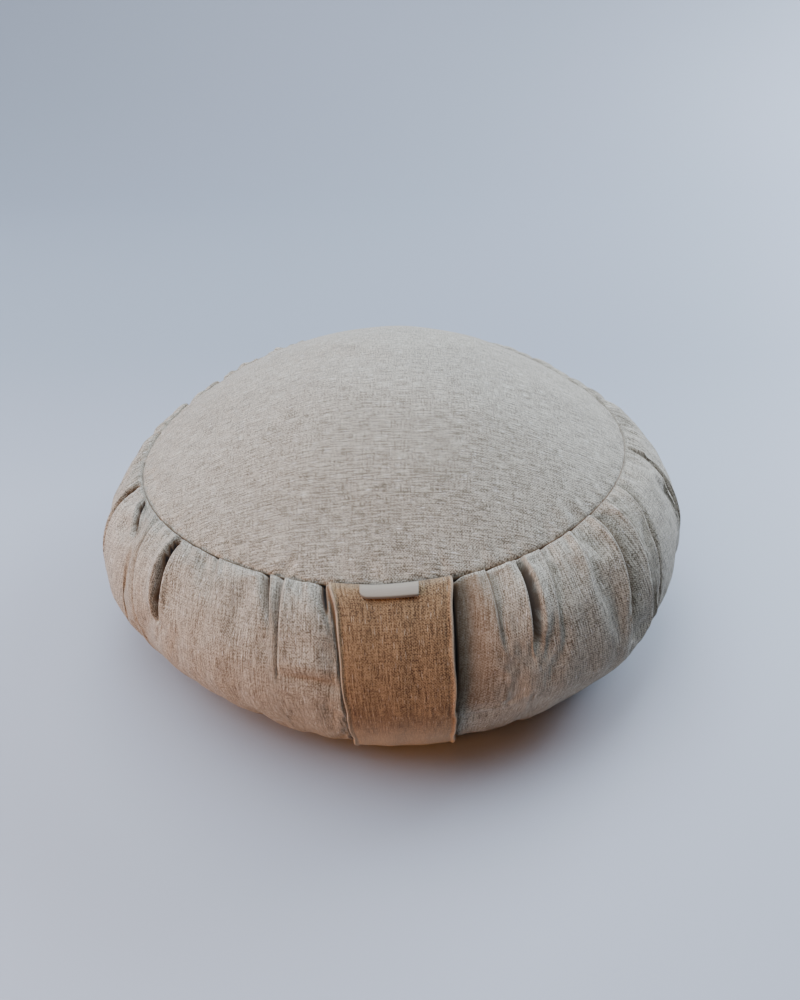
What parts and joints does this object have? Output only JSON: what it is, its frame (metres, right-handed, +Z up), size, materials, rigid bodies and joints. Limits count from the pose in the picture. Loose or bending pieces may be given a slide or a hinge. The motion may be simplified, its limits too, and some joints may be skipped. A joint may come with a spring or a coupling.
{
  "type": "zafu meditation cushion",
  "caption": "Round filled floor cushion for sitting meditation, with a crowned top, a pleated side band, a flat carrying strap and a small blank label.",
  "frame": {"origin": "the middle of the base, on the surface that the cushion rests on, under the middle of its box", "axes": "+Z up out of the crowned top; -Y towards the front, where the strap and label are; +X to the right as seen from the front"},
  "size_m": [0.3759, 0.3816, 0.168],
  "materials": {
    "linen": "natural undyed linen in plain weave, matt, with slubs",
    "label_tape": "smooth woven tape, light grey, blank"
  },
  "bodies": {
    "root": {"cushion_body": "linen", "carry_strap": "linen", "label": "label_tape"}
  },
  "joints": []
}
